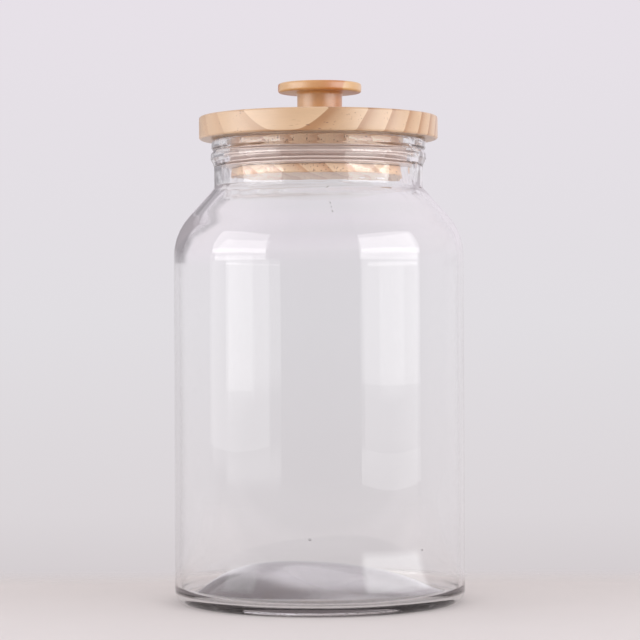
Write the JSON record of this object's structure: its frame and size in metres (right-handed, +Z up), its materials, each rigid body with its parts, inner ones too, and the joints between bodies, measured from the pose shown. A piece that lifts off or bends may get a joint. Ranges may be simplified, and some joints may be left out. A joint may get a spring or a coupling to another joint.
{
  "type": "glass storage jar",
  "caption": "Wide-mouth clear glass storage jar with a two-board wooden lid, a mushroom knob and a finned silicone seal that plugs the neck.",
  "frame": {"origin": "centre of the ring that the jar stands on, at the bottom of the bounding box", "axes": "+Z up along the jar's axis, towards the knob; +X and +Y are arbitrary, the jar is round"},
  "size_m": [0.155, 0.155, 0.2766],
  "materials": {
    "clear_glass": "clear blown soda-lime glass, fire-polished",
    "pine_disc": "sanded pale pine, unvarnished",
    "pine_plug": "sanded pale pine, unvarnished",
    "pine_knob": "turned and sanded pine, unvarnished",
    "silicone": "translucent moulded silicone",
    "screw_steel": "zinc-plated"
  },
  "bodies": {
    "jar": {"glass_jar": "clear_glass"},
    "seal": {"seal_ring": "silicone"},
    "lid": {"lid_disc": "pine_disc", "lid_plug": "pine_plug", "knob": "pine_knob", "knob_screw": "screw_steel"}
  },
  "joints": [
    {"name": "lid_lift", "type": "slide", "parent": "jar", "child": "seal", "axis": [0, 0, 1], "range_m": [0, 0.1]},
    {"name": "lid_turn", "type": "hinge", "parent": "seal", "child": "lid", "pos_m": [0, 0, 0.2466], "axis": [0, 0, 1], "continuous": true}
  ]
}
